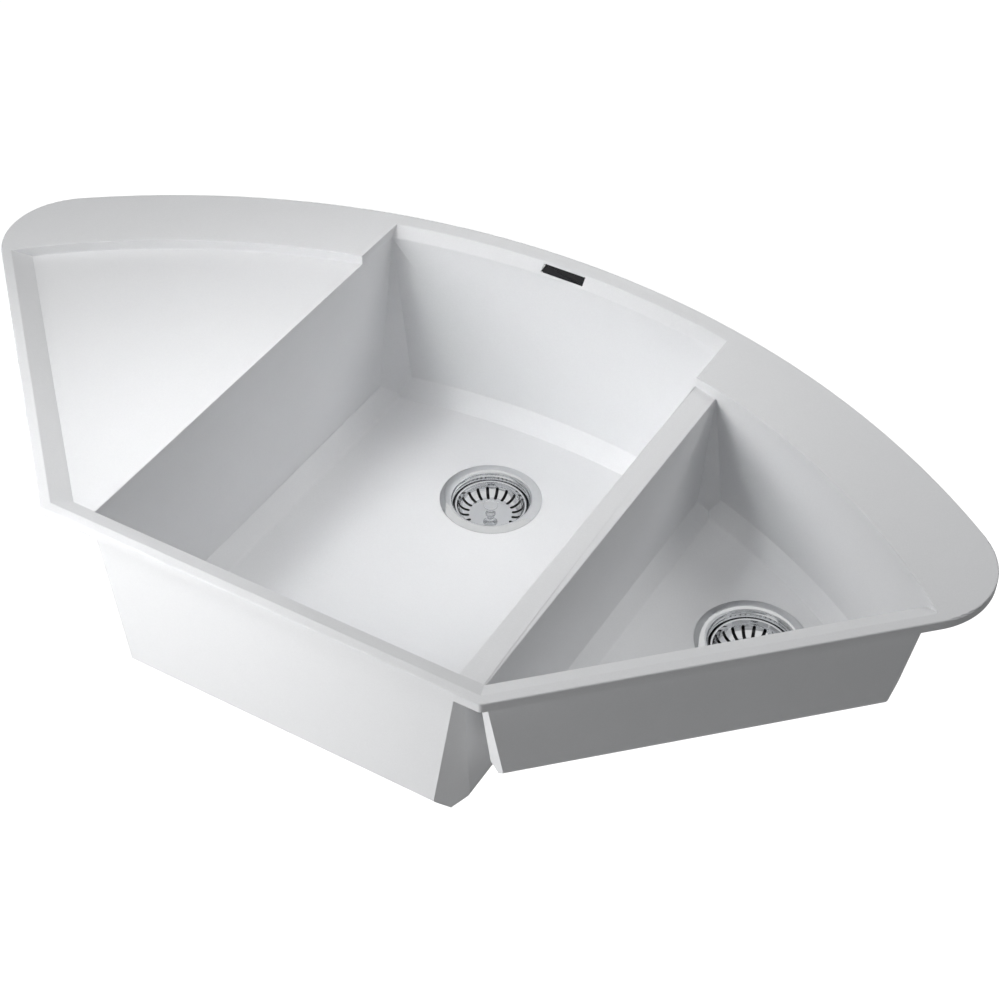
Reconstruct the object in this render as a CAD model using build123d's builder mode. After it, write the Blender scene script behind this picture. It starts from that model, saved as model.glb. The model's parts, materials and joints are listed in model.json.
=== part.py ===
from build123d import *

import os
from math import atan, atan2, cos, pi, radians, sin, sqrt, tan

# Corner kitchen sink with a drainboard, a main bowl, a half bowl and two basket strainer wastes.
# Millimetres, +Z up. The plan is a quarter circle whose tip is cut off: the short front edge lies
# on the X axis at y = 0, the arc is the back. z = 0 is the underside of the rim, where the sink
# rests on the worktop.
os.makedirs("parts", exist_ok=True)

# Plan of the rim
front_half = 240.0            # half the straight front edge
back_radius = 851.0           # back arc, struck from the apex where the two side edges would meet
back_corner_radius = 84.0     # rounding between a side edge and the back arc
front_corner_radius = 6.0     # small rounding between the front edge and a side edge
rim_thickness = 10.0
rim_edge_radius = 1.6         # rolled top edge of the rim

# Sunken deck: drainboard, divider and the slopes that lead down to them
deck_drop = 11.4              # rim top down to the deck
front_rim_flat = 9.9          # flat top of the rim along the front edge
side_rim_flat = 10.6          # flat top of the rim along the side edges
deck_slope_run = 21.2         # slope from the rim flat down to the deck
deck_back_rim = 88.7          # wide flat rim behind the deck
deck_back_draft = 0.8
wall = 6.0                    # wall of the bowls and of the deck

# Main bowl
main_half_width = 200.4
main_back_rim = 20.0          # flat rim behind the main bowl
main_back_slope_run = 10.2    # slope behind the main bowl, which carries the badge
main_floor_depth = 213.0      # rim top to the floor
main_band_drop = 19.5         # height of the sloping band between the walls and the floor
main_band_run = 17.0          # and its width
main_side_draft = 1.64        # degrees
main_front_draft = 0.8
main_back_draft = 3.7
main_front_facet = 21.0       # corner facets: width along each wall at the foot of the walls
main_back_facet_side = 27.0
main_back_facet_back = 22.0

# Half bowl
divider_width = 26.5
half_floor_depth = 143.0
half_band_drop = 16.0
half_band_run = 15.5
half_divider_draft = 1.78
half_outer_draft = 1.0
half_back_draft = 2.4
half_near_facet = 14.0
half_back_facet = 20.5
half_outer_facet = 19.5
bowl_crease_radius = 2.0      # rounding of the crease round the floors

# Axes of the drains
main_drain_back = 144.8       # from the back wall of the main bowl
half_drain_divider = 131.2    # from the divider
half_drain_back = 95.57       # from the back wall of the half bowl

# Strainer waste, 3 1/2 inch size. Heights and depths are measured from the bowl floor.
drain_hole_radius = 45.0
flange_radius = 55.8
flange_clearance = 0.4        # flange edge to the recess in the floor
recess_depth = 1.6
gasket_thickness = 1.2
gasket_inner_radius = 47.0
gasket_outer_radius = 54.5
sheet = 1.0                   # steel of the flange cup
flange_lip = 0.1              # flange edge above the floor
crown_radius = 46.8
crown_height = 1.8
mouth_radius = 42.6
mouth_depth = 2.2
cup_radius = 40.9             # inside of the cup, where its wall meets the cone
cone_top_depth = 24.0         # the stopper's seal sits on this cone
cone_foot_depth = 33.5
cone_foot_radius = 24.0
cup_depth = 37.0              # top of the cup's bottom
cup_floor_radius = 22.0
cup_hole_count = 8
cup_hole_radius = 3.4
cup_hole_circle = 16.2

basket_sheet = 0.8
basket_rim_depth = 8.0        # top of the basket's rim
basket_rim_radius = 39.4
basket_rim_inner = 37.2
basket_rim_thickness = 0.9
basket_waist_radius = 35.6    # inside, where the wall meets the bottom's rounding
basket_depth = 22.0           # top of the basket's bottom
basket_corner = 11.0
slot_count = 20
slot_width = 3.4
slot_inner_radius = 24.0
slot_top_depth = 14.6
pin_hole_radius = 2.7

knob_radius = 8.0
knob_top_depth = 8.8
knob_cap = 1.7
knob_neck_radius = 3.5
knob_base_radius = 6.0
knob_edge = 0.5
knob_bore_depth = 8.0         # pin's hole, up from the knob's foot

hub_radius = 17.0
hub_thickness = 2.2
hub_boss_radius = 8.7
hub_boss_height = 6.0
seal_thickness = 3.4
seal_gap = 0.6                # level distance from the seal's edge to the cup's cone
seal_bore_gap = 0.1
pin_radius = 2.5
pin_gap = 0.1
pin_bulb_radius = 3.0
pin_bulb_height = 3.0
pin_bulb_edge = 0.4
pin_depth = 51.0

screw_head_radius = 8.0
screw_head_height = 3.6
screw_head_edge = 0.8
screw_slot_width = 2.0
screw_slot_depth = 1.6
screw_bore_radius = 3.5
screw_bore_depth = 54.0
screw_radius = 5.0
screw_end_depth = 60.0
thread_gap = 0.1
nut_width = 15.0              # across flats
nut_height = 11.0
nut_cover = 5.0               # plastic above the nut

under_seal_thickness = 3.0
under_seal_inner = 46.0
under_seal_outer = 57.0
body_radius = 58.0
body_rim = 3.5
body_bore_radius = 44.0
body_wall = 3.0
body_round_depth = 45.0       # foot of the round wall
body_throat_depth = 56.0      # where the body has narrowed to the outlet
boss_radius = 11.0
boss_end_depth = 62.0
rib_count = 3
rib_width = 3.0
rib_height = 8.0
rib_root = 1.5                # ribs run this far into the wall
outlet_bore_radius = 19.8
outlet_radius = 23.9          # G 1 1/2 thread, outside
outlet_length = 25.0
outlet_collar_radius = 27.0
outlet_collar_height = 5.0
outlet_end_depth = 92.0

# Badge plate on the slope behind the main bowl
badge_width = 48.0
badge_height = 9.6
badge_thickness = 1.2
badge_recess = 0.8
badge_gap = 0.2               # plate to the edge of its pocket
badge_corner_radius = 0.6
badge_shift = -1.0            # plate's middle, from the middle of the back
badge_recess_extra = 2.2      # recess longer than the plate, at its left end

rim_top = rim_thickness
deck_z = rim_top - deck_drop
deck_back_radius = back_radius - deck_back_rim
divider_x = main_half_width + divider_width
main_back_top = back_radius - main_back_rim
main_back_deck = main_back_top - main_back_slope_run
side_deck_inset = side_rim_flat + deck_slope_run
front_deck_inset = front_rim_flat + deck_slope_run
main_wall_depth = main_floor_depth - main_band_drop
half_wall_depth = half_floor_depth - half_band_drop
main_floor_z = rim_top - main_floor_depth
half_floor_z = rim_top - half_floor_depth
diagonal = sqrt(2)

# The underside follows the slopes at the thickness of the wall
slope_angle = atan(deck_drop / deck_slope_run)
under_slope_drop = wall / cos(slope_angle)
seat_shift = (rim_thickness - under_slope_drop) / tan(slope_angle)
under_deck_shift = wall * tan(slope_angle / 2)
under_deck_z = deck_z - wall

# Floor of the badge pocket, level with the slope behind the main bowl
back_slope_normal = Vector(0, -deck_drop, main_back_slope_run).normalized()
back_slope_middle = Vector(
    badge_shift, (main_back_top + main_back_deck) / 2 - front_half, rim_top - deck_drop / 2
)
badge_pocket = Plane(
    back_slope_middle - back_slope_normal * badge_recess, x_dir=(1, 0, 0), z_dir=back_slope_normal
)


def side_line_y(x, inset):
    """Y on the line parallel to the right side edge, inset from it."""
    return x - front_half + inset * diagonal


def arc_y(x, radius):
    """Y on a circle about the apex."""
    return sqrt(radius**2 - x**2) - front_half


def side_corner_x(inset, radius):
    """X where the inset side line meets a circle about the apex."""
    shift = inset * diagonal
    return (sqrt(2 * radius**2 - shift**2) - shift) / 2


def sector_outline(front_inset, side_inset, radius):
    """Sector-shaped wire between the front, the two sides and an arc, as a closed sketch."""
    front_x = front_half + front_inset - side_inset * diagonal
    corner_x = side_corner_x(side_inset, radius)
    corner_y = side_line_y(corner_x, side_inset)
    with BuildLine() as wire:
        Polyline(
            (-corner_x, corner_y),
            (-front_x, front_inset),
            (front_x, front_inset),
            (corner_x, corner_y),
        )
        ThreePointArc((corner_x, corner_y), (0, radius - front_half), (-corner_x, corner_y))
    return wire.wire()


def main_outline(half_width, front_y, radius):
    """Plan of the main bowl: parallel sides, straight front, arc at the back."""
    back_y = arc_y(half_width, radius)
    with BuildLine() as wire:
        Polyline(
            (-half_width, back_y),
            (-half_width, front_y),
            (half_width, front_y),
            (half_width, back_y),
        )
        ThreePointArc((half_width, back_y), (0, radius - front_half), (-half_width, back_y))
    return wire.wire()


def half_outline(left_x, outer_inset, radius):
    """Plan of the half bowl: divider wall, wall along the right side edge, arc at the back."""
    near = (left_x, side_line_y(left_x, outer_inset))
    right_x = side_corner_x(outer_inset, radius)
    right = (right_x, side_line_y(right_x, outer_inset))
    left = (left_x, arc_y(left_x, radius))
    middle = (atan2(right[1] + front_half, right_x) + atan2(left[1] + front_half, left_x)) / 2
    with BuildLine() as wire:
        Polyline(left, near, right)
        ThreePointArc(right, (radius * cos(middle), radius * sin(middle) - front_half), left)
    return wire.wire()


# Places of the wastes: z = 0 there is the bowl's floor
main_drain_y = arc_y(0, main_back_deck - main_drain_back)
half_drain_x = divider_x + half_drain_divider
half_drain_y = arc_y(half_drain_x, deck_back_radius - half_drain_back)
main_drain = Plane((0, main_drain_y, main_floor_z))
half_drain = Plane((half_drain_x, half_drain_y, half_floor_z))


def facet_plane(top_corner, foot_a, foot_b, inside_point, grow):
    """Plane of a corner facet from its top corner and two foot points, moved outwards by grow."""
    normal = (foot_a - top_corner).cross(foot_b - top_corner).normalized()
    if normal.dot(inside_point - top_corner) > 0:
        normal = -normal
    return Plane(origin=top_corner + normal * grow, z_dir=normal)


def drafted(length, draft):
    """Distance that a wall of this height leans inwards."""
    return length * tan(radians(draft))


def main_bowl(grow, top_z):
    """Space of the main bowl, or with grow its outer form, up to top_z."""
    height = main_wall_depth - deck_drop
    band_angle = atan(main_band_drop / main_band_run)
    wall_z = rim_top - main_wall_depth - grow * tan((pi / 2 - band_angle) / 2)
    floor_z = main_floor_z - grow
    foot_x = main_half_width - drafted(height, main_side_draft)
    foot_y = front_deck_inset + drafted(height, main_front_draft)
    foot_r = main_back_deck - drafted(height, main_back_draft)
    floor_shift = main_band_run - grow * tan(band_angle / 2)
    lean = (top_z - deck_z) / height
    top_x = main_half_width + lean * (main_half_width - foot_x)
    top_y = front_deck_inset + lean * (front_deck_inset - foot_y)
    top_r = main_back_deck + lean * (main_back_deck - foot_r)
    with BuildPart() as form:
        with BuildSketch(Plane.XY.offset(top_z)):
            make_face(main_outline(top_x + grow, top_y - grow, top_r + grow))
        with BuildSketch(Plane.XY.offset(wall_z)):
            make_face(main_outline(foot_x + grow, foot_y - grow, foot_r + grow))
        loft(ruled=True)
        with BuildSketch(Plane.XY.offset(wall_z)):
            make_face(main_outline(foot_x + grow, foot_y - grow, foot_r + grow))
        with BuildSketch(Plane.XY.offset(floor_z)):
            make_face(main_outline(foot_x - floor_shift, foot_y + floor_shift, foot_r - floor_shift))
        loft(ruled=True)
        middle = Vector(0, main_drain_y, wall_z)
        foot_z = rim_top - main_wall_depth
        for side in (-1, 1):
            front_top = Vector(side * main_half_width, front_deck_inset, deck_z)
            front_a = Vector(side * (foot_x - main_front_facet), foot_y, foot_z)
            front_b = Vector(side * foot_x, foot_y + main_front_facet, foot_z)
            split(bisect_by=facet_plane(front_top, front_a, front_b, middle, grow), keep=Keep.BOTTOM)
            back_top = Vector(side * main_half_width, arc_y(main_half_width, main_back_deck), deck_z)
            back_a = Vector(side * foot_x, arc_y(foot_x, foot_r) - main_back_facet_side, foot_z)
            back_x = foot_x - main_back_facet_back
            back_b = Vector(side * back_x, arc_y(back_x, foot_r), foot_z)
            split(bisect_by=facet_plane(back_top, back_a, back_b, middle, grow), keep=Keep.BOTTOM)
        for crease_z in (wall_z, floor_z):
            fillet(edges().filter_by_position(Axis.Z, crease_z, crease_z), bowl_crease_radius + grow)
    return form.part


def half_bowl(grow, top_z):
    """Space of the half bowl, or with grow its outer form, up to top_z."""
    height = half_wall_depth - deck_drop
    band_angle = atan(half_band_drop / half_band_run)
    wall_z = rim_top - half_wall_depth - grow * tan((pi / 2 - band_angle) / 2)
    floor_z = half_floor_z - grow
    foot_x = divider_x + drafted(height, half_divider_draft)
    foot_inset = side_deck_inset + drafted(height, half_outer_draft)
    foot_r = deck_back_radius - drafted(height, half_back_draft)
    floor_shift = half_band_run - grow * tan(band_angle / 2)
    lean = (top_z - deck_z) / height
    top_x = divider_x - lean * (foot_x - divider_x)
    top_inset = side_deck_inset - lean * (foot_inset - side_deck_inset)
    top_r = deck_back_radius + lean * (deck_back_radius - foot_r)
    with BuildPart() as form:
        with BuildSketch(Plane.XY.offset(top_z)):
            make_face(half_outline(top_x - grow, top_inset - grow, top_r + grow))
        with BuildSketch(Plane.XY.offset(wall_z)):
            make_face(half_outline(foot_x - grow, foot_inset - grow, foot_r + grow))
        loft(ruled=True)
        with BuildSketch(Plane.XY.offset(wall_z)):
            make_face(half_outline(foot_x - grow, foot_inset - grow, foot_r + grow))
        with BuildSketch(Plane.XY.offset(floor_z)):
            make_face(half_outline(foot_x + floor_shift, foot_inset + floor_shift, foot_r - floor_shift))
        loft(ruled=True)
        middle = Vector(half_drain_x, half_drain_y, wall_z)
        foot_z = rim_top - half_wall_depth
        near_top = Vector(divider_x, side_line_y(divider_x, side_deck_inset), deck_z)
        near_a = Vector(foot_x, side_line_y(foot_x, foot_inset) + half_near_facet, foot_z)
        near_x = foot_x + half_near_facet / diagonal
        near_b = Vector(near_x, side_line_y(near_x, foot_inset), foot_z)
        split(bisect_by=facet_plane(near_top, near_a, near_b, middle, grow), keep=Keep.BOTTOM)
        back_top = Vector(divider_x, arc_y(divider_x, deck_back_radius), deck_z)
        back_a = Vector(foot_x, arc_y(foot_x, foot_r) - half_back_facet, foot_z)
        back_x = foot_x + half_back_facet
        back_b = Vector(back_x, arc_y(back_x, foot_r), foot_z)
        split(bisect_by=facet_plane(back_top, back_a, back_b, middle, grow), keep=Keep.BOTTOM)
        outer_top_x = side_corner_x(side_deck_inset, deck_back_radius)
        outer_top = Vector(outer_top_x, side_line_y(outer_top_x, side_deck_inset), deck_z)
        outer_x = side_corner_x(foot_inset, foot_r) - half_outer_facet / diagonal
        outer_a = Vector(outer_x, side_line_y(outer_x, foot_inset), foot_z)
        outer_b = Vector(outer_x, arc_y(outer_x, foot_r), foot_z)
        split(bisect_by=facet_plane(outer_top, outer_a, outer_b, middle, grow), keep=Keep.BOTTOM)
        for crease_z in (wall_z, floor_z):
            fillet(edges().filter_by_position(Axis.Z, crease_z, crease_z), bowl_crease_radius + grow)
    return form.part


with BuildPart() as sink_body:
    # Rim plate
    with BuildSketch():
        make_face(sector_outline(0, 0, back_radius))
        fillet(vertices().group_by(Axis.Y)[-1], back_corner_radius)
        fillet(vertices().group_by(Axis.Y)[0], front_corner_radius)
    extrude(amount=rim_thickness)
    fillet(faces().sort_by(Axis.Z)[-1].edges(), rim_edge_radius)

    # Plate under the deck and its slopes, then the walls and floors of the bowls
    with BuildSketch(Plane.XY.offset(under_deck_z)):
        under_front = front_deck_inset - under_deck_shift
        under_side = side_deck_inset - under_deck_shift
        make_face(sector_outline(under_front, under_side, deck_back_radius + wall))
    with BuildSketch():
        seat_front = front_rim_flat + seat_shift
        seat_side = side_rim_flat + seat_shift
        make_face(sector_outline(seat_front, seat_side, deck_back_radius + wall))
    loft(ruled=True)
    add(main_bowl(wall, 0))
    add(half_bowl(wall, 0))

    # Sunken deck with its slopes
    with BuildSketch(Plane.XY.offset(deck_z)):
        make_face(sector_outline(front_deck_inset, side_deck_inset, deck_back_radius))
    with BuildSketch(Plane.XY.offset(rim_top)):
        deck_top_radius = deck_back_radius + drafted(deck_drop, deck_back_draft)
        make_face(sector_outline(front_rim_flat, side_rim_flat, deck_top_radius))
    loft(ruled=True, mode=Mode.SUBTRACT)

    # Slope behind the main bowl
    with BuildSketch(Plane.XY.offset(deck_z)):
        make_face(main_outline(main_half_width, main_drain_y, main_back_deck))
    with BuildSketch(Plane.XY.offset(rim_top)):
        make_face(main_outline(main_half_width, main_drain_y, main_back_top))
    loft(ruled=True, mode=Mode.SUBTRACT)

    add(main_bowl(0, deck_z), mode=Mode.SUBTRACT)
    add(half_bowl(0, deck_z), mode=Mode.SUBTRACT)

    # Drain holes, each with a shallow recess for the flange
    for drain in (main_drain, half_drain):
        with BuildSketch(drain):
            Circle(flange_radius + flange_clearance)
        extrude(amount=-recess_depth, mode=Mode.SUBTRACT)
        with BuildSketch(drain):
            Circle(drain_hole_radius)
        extrude(amount=-wall, mode=Mode.SUBTRACT)

    # Pocket for the badge plate
    with BuildSketch(badge_pocket):
        with Locations((-badge_recess_extra / 2, 0)):
            Rectangle(badge_width + badge_recess_extra + 2 * badge_gap, badge_height + 2 * badge_gap)
    extrude(amount=2 * badge_thickness, mode=Mode.SUBTRACT)

with BuildPart() as badge_plate:
    with BuildSketch(badge_pocket):
        Rectangle(badge_width, badge_height)
    extrude(amount=badge_thickness)
    fillet(edges().filter_by(Axis((0, 0, 0), back_slope_normal)), badge_corner_radius)

# The pieces of a waste, drawn about its axis with z = 0 at the bowl's floor
gasket_top = gasket_thickness - recess_depth
under_seal_top = -wall
body_top = under_seal_top - under_seal_thickness
outlet_top = outlet_length + outlet_collar_height - outlet_end_depth
cup_underside = -cup_depth - sheet
nut_top = cup_underside - nut_cover
basket_underside = -basket_depth - basket_sheet
basket_rim_top = -basket_rim_depth
basket_rim_z = basket_rim_top - basket_rim_thickness
hub_underside = basket_underside - hub_thickness
cone_slope = (cup_radius - cone_foot_radius) / (cone_foot_depth - cone_top_depth)


def cone_radius(z):
    """Radius of the cup's cone at a height."""
    return cup_radius - (-cone_top_depth - z) * cone_slope


with BuildSketch(Plane.XZ) as cup_space:
    with BuildLine():
        mouth = TangentArc((crown_radius, crown_height), (mouth_radius, -mouth_depth), tangent=(-1, 0))
        Polyline(
            mouth @ 1,
            (cup_radius, -cone_top_depth),
            (cone_foot_radius, -cone_foot_depth),
            (cup_floor_radius, -cup_depth),
            (0, -cup_depth),
            (0, crown_height),
            mouth @ 0,
        )
    make_face()

with BuildPart() as drain_flange:
    with BuildSketch(Plane.XZ):
        add(cup_space.sketch_local)
        offset(amount=sheet, kind=Kind.INTERSECTION)
        with Locations((0, gasket_top)):
            Rectangle(flange_radius, 2 * cup_depth, align=(Align.MIN, Align.MAX), mode=Mode.INTERSECT)
        with BuildLine():
            TangentArc((crown_radius, crown_height), (flange_radius, flange_lip), tangent=(1, 0))
            Polyline(
                (flange_radius, flange_lip),
                (flange_radius, gasket_top),
                (mouth_radius, gasket_top),
                (mouth_radius, crown_height),
                (crown_radius, crown_height),
            )
        make_face()
        add(cup_space.sketch_local, mode=Mode.SUBTRACT)
    revolve(axis=Axis.Z)
    with BuildSketch(Plane.XY.offset(-cup_depth)):
        Circle(screw_radius + thread_gap)
        with PolarLocations(cup_hole_circle, cup_hole_count):
            Circle(cup_hole_radius)
    extrude(amount=-sheet, mode=Mode.SUBTRACT)

with BuildPart() as flange_gasket:
    with BuildSketch(Plane.XY.offset(-recess_depth)):
        Circle(gasket_outer_radius)
        Circle(gasket_inner_radius, mode=Mode.SUBTRACT)
    extrude(amount=gasket_thickness)

with BuildPart() as under_seal:
    with BuildSketch(Plane.XY.offset(body_top)):
        Circle(under_seal_outer)
        Circle(under_seal_inner, mode=Mode.SUBTRACT)
    extrude(amount=under_seal_thickness)

with BuildPart() as waste_body:
    # Ribs that carry the boss, ended at the cone
    with BuildSketch(Plane.XY.offset(-body_throat_depth)):
        with PolarLocations(body_bore_radius / 2, rib_count):
            Rectangle(body_bore_radius, rib_width)
    extrude(amount=rib_height)
    with BuildSketch(Plane.XZ):
        with BuildLine():
            Polyline(
                (0, body_top),
                (body_bore_radius + rib_root, body_top),
                (body_bore_radius + rib_root, -body_round_depth),
                (outlet_bore_radius + rib_root, -body_throat_depth),
                (0, -body_throat_depth),
                close=True,
            )
        make_face()
    revolve(axis=Axis.Z, mode=Mode.INTERSECT)
    # Rim, round wall and cone
    with BuildSketch(Plane.XZ):
        with BuildLine():
            Polyline(
                (0, body_top),
                (body_bore_radius, body_top),
                (body_bore_radius, -body_round_depth),
                (outlet_bore_radius, -body_throat_depth),
                (outlet_bore_radius, outlet_top),
                (0, outlet_top),
                close=True,
            )
        space = make_face()
        offset(amount=body_wall, kind=Kind.INTERSECTION)
        with Locations((0, body_top)):
            Rectangle(body_radius, body_rim, align=(Align.MIN, Align.MAX))
        with Locations((0, body_top)):
            Rectangle(body_radius, body_top - outlet_top, align=(Align.MIN, Align.MAX), mode=Mode.INTERSECT)
        add(space, mode=Mode.SUBTRACT)
    revolve(axis=Axis.Z)
    # Boss for the screw, with a pocket for the nut
    with BuildSketch(Plane.XY.offset(cup_underside)):
        Circle(boss_radius)
    extrude(amount=-(boss_end_depth + cup_underside))
    with BuildSketch(Plane.XY.offset(cup_underside)):
        Circle(screw_radius + thread_gap)
    extrude(amount=-(boss_end_depth + cup_underside), mode=Mode.SUBTRACT)
    with BuildSketch(Plane.XY.offset(nut_top)):
        RegularPolygon(nut_width / 2 + thread_gap, 6, major_radius=False)
    extrude(amount=-(boss_end_depth + nut_top), mode=Mode.SUBTRACT)

# Threaded outlet, seated on the end of the body
with BuildPart() as outlet_tail:
    with BuildSketch(Plane.XY.offset(-outlet_end_depth)):
        Circle(outlet_radius)
    extrude(amount=outlet_length)
    with BuildSketch(Plane.XY.offset(outlet_top)):
        Circle(outlet_collar_radius)
    extrude(amount=-outlet_collar_height)
    with BuildSketch(Plane.XY.offset(outlet_top)):
        Circle(outlet_bore_radius)
    extrude(amount=-(outlet_end_depth + outlet_top), mode=Mode.SUBTRACT)

with BuildPart() as clamp_nut:
    with BuildSketch(Plane.XY.offset(nut_top)):
        RegularPolygon(nut_width / 2, 6, major_radius=False)
        Circle(screw_radius + thread_gap, mode=Mode.SUBTRACT)
    extrude(amount=-nut_height)

with BuildPart() as fixing_screw:
    with BuildSketch(Plane.XY.offset(-cup_depth)):
        Circle(screw_head_radius)
    extrude(amount=screw_head_height)
    fillet(edges().sort_by(Axis.Z)[-1], screw_head_edge)
    with BuildSketch(Plane.XY.offset(screw_head_height - cup_depth)):
        Rectangle(2 * screw_head_radius, screw_slot_width)
    extrude(amount=-screw_slot_depth, mode=Mode.SUBTRACT)
    with BuildSketch(Plane.XY.offset(-cup_depth)):
        Circle(screw_radius)
    extrude(amount=cup_depth - screw_end_depth)
    with BuildSketch(Plane.XY.offset(screw_head_height - cup_depth)):
        Circle(screw_bore_radius)
    extrude(amount=cup_depth - screw_head_height - screw_bore_depth, mode=Mode.SUBTRACT)

with BuildSketch(Plane.XZ) as basket_space:
    with BuildLine():
        Polyline(
            (0, basket_rim_top),
            (basket_rim_inner, basket_rim_top),
            (basket_waist_radius, -basket_depth),
            (0, -basket_depth),
            close=True,
        )
    make_face()
    fillet(vertices().group_by(Axis.Y)[0].sort_by(Axis.X)[-1], basket_corner)

with BuildPart() as basket:
    with BuildSketch(Plane.XZ):
        add(basket_space.sketch_local)
        offset(amount=basket_sheet, kind=Kind.INTERSECTION)
        with Locations((0, basket_rim_z)):
            Rectangle(basket_rim_radius, basket_rim_thickness, align=(Align.MIN, Align.MIN))
        with Locations((0, basket_rim_top)):
            Rectangle(
                basket_rim_radius, basket_depth, align=(Align.MIN, Align.MAX), mode=Mode.INTERSECT
            )
        add(basket_space.sketch_local, mode=Mode.SUBTRACT)
    revolve(axis=Axis.Z)
    # Slots from the bottom up over the rounding into the wall
    with BuildSketch(Plane.XY.offset(basket_underside)):
        with PolarLocations((slot_inner_radius + basket_rim_radius) / 2, slot_count):
            SlotOverall(basket_rim_radius - slot_inner_radius, slot_width)
        Circle(pin_hole_radius)
    extrude(amount=-slot_top_depth - basket_underside, mode=Mode.SUBTRACT)

with BuildPart() as knob:
    with BuildSketch(Plane.XZ):
        cap_underside = -knob_top_depth - knob_cap
        with BuildLine():
            spool = ThreePointArc(
                (knob_base_radius, -basket_depth),
                (knob_neck_radius, (cap_underside - basket_depth) / 2),
                (knob_radius - knob_edge, cap_underside),
            )
            Polyline(
                spool @ 1,
                (knob_radius, cap_underside + knob_edge),
                (knob_radius, -knob_top_depth - knob_edge),
                (knob_radius - knob_edge, -knob_top_depth),
                (0, -knob_top_depth),
                (0, -basket_depth),
                spool @ 0,
            )
        make_face()
    revolve(axis=Axis.Z)
    with BuildSketch(Plane.XY.offset(-basket_depth)):
        Circle(pin_radius + pin_gap)
    extrude(amount=knob_bore_depth, mode=Mode.SUBTRACT)

with BuildPart() as stopper_hub:
    with BuildSketch(Plane.XY.offset(basket_underside)):
        Circle(hub_radius)
    extrude(amount=-hub_thickness)
    with BuildSketch(Plane.XY.offset(hub_underside)):
        Circle(hub_boss_radius)
    extrude(amount=-hub_boss_height)
    with BuildSketch(Plane.XY.offset(basket_underside)):
        Circle(pin_radius + pin_gap)
    extrude(amount=-hub_thickness - hub_boss_height, mode=Mode.SUBTRACT)

with BuildPart() as stopper_seal:
    with BuildSketch(Plane.XZ):
        seal_foot = hub_underside - seal_thickness
        with BuildLine():
            Polyline(
                (hub_boss_radius + seal_bore_gap, hub_underside),
                (cone_radius(hub_underside) - seal_gap, hub_underside),
                (cone_radius(seal_foot) - seal_gap, seal_foot),
                (hub_boss_radius + seal_bore_gap, seal_foot),
                close=True,
            )
        make_face()
    revolve(axis=Axis.Z)

with BuildPart() as stopper_pin:
    with BuildSketch(Plane.XY.offset(knob_bore_depth - basket_depth)):
        Circle(pin_radius)
    extrude(amount=-(pin_depth + knob_bore_depth - basket_depth))
    with BuildSketch(Plane.XY.offset(-pin_depth)):
        Circle(pin_bulb_radius)
    extrude(amount=pin_bulb_height)
    fillet(edges().filter_by(GeomType.CIRCLE).group_by(SortBy.RADIUS)[-1], pin_bulb_edge)

single_pieces = {"sink_body": sink_body, "badge_plate": badge_plate}
waste_pieces = {
    "drain_flange": drain_flange,
    "flange_gasket": flange_gasket,
    "under_seal": under_seal,
    "waste_body": waste_body,
    "outlet_tail": outlet_tail,
    "clamp_nut": clamp_nut,
    "fixing_screw": fixing_screw,
    "basket": basket,
    "knob": knob,
    "stopper_hub": stopper_hub,
    "stopper_seal": stopper_seal,
    "stopper_pin": stopper_pin,
}

for name, piece in single_pieces.items():
    piece.part.label = name
    export_step(piece.part, f"parts/{name}.step")

for bowl, drain in {"main": main_drain, "half": half_drain}.items():
    for name, piece in waste_pieces.items():
        placed = piece.part.moved(drain.location)
        placed.label = f"{bowl}_{name}"
        export_step(placed, f"parts/{placed.label}.step")
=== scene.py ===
import json
from math import asin, cos, pi, radians, sin, sqrt, tan

import bmesh
import bpy
from mathutils import Matrix, Vector


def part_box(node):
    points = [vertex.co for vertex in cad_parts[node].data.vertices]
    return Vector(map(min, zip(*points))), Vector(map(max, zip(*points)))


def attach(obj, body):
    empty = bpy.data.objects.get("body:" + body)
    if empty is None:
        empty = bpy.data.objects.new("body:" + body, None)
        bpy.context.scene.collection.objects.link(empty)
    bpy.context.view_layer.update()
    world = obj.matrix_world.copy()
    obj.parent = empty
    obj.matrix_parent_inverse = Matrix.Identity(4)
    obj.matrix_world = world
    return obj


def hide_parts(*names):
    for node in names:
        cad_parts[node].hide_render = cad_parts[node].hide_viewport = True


# Corner kitchen sink: finishes, edge roundings and the round parts of the two wastes.
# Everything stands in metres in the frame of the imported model. The sizes of pieces are written in
# millimetres, those of finishes, camera and lamps in metres, angles in degrees.
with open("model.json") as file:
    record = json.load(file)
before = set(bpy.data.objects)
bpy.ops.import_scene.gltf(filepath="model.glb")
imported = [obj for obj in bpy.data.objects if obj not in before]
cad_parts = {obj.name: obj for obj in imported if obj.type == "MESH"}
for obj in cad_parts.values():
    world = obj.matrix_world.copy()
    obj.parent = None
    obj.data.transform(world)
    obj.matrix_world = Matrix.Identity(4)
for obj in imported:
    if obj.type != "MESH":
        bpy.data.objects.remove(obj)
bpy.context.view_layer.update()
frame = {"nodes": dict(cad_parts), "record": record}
mm = 0.001
print("frame loaded with", len(frame["nodes"]), "nodes")


cameraView = {
    "place": (0.8325, -1.0407, 1.3275),
    "tilt": 47.87,
    "turn": 31.42,
    "lens": 75.13,  # millimetres, as the sensor
    "sensor": 36.0,
    "shiftX": 0.0634,  # the picture is the left part of a wider view
}

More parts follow.
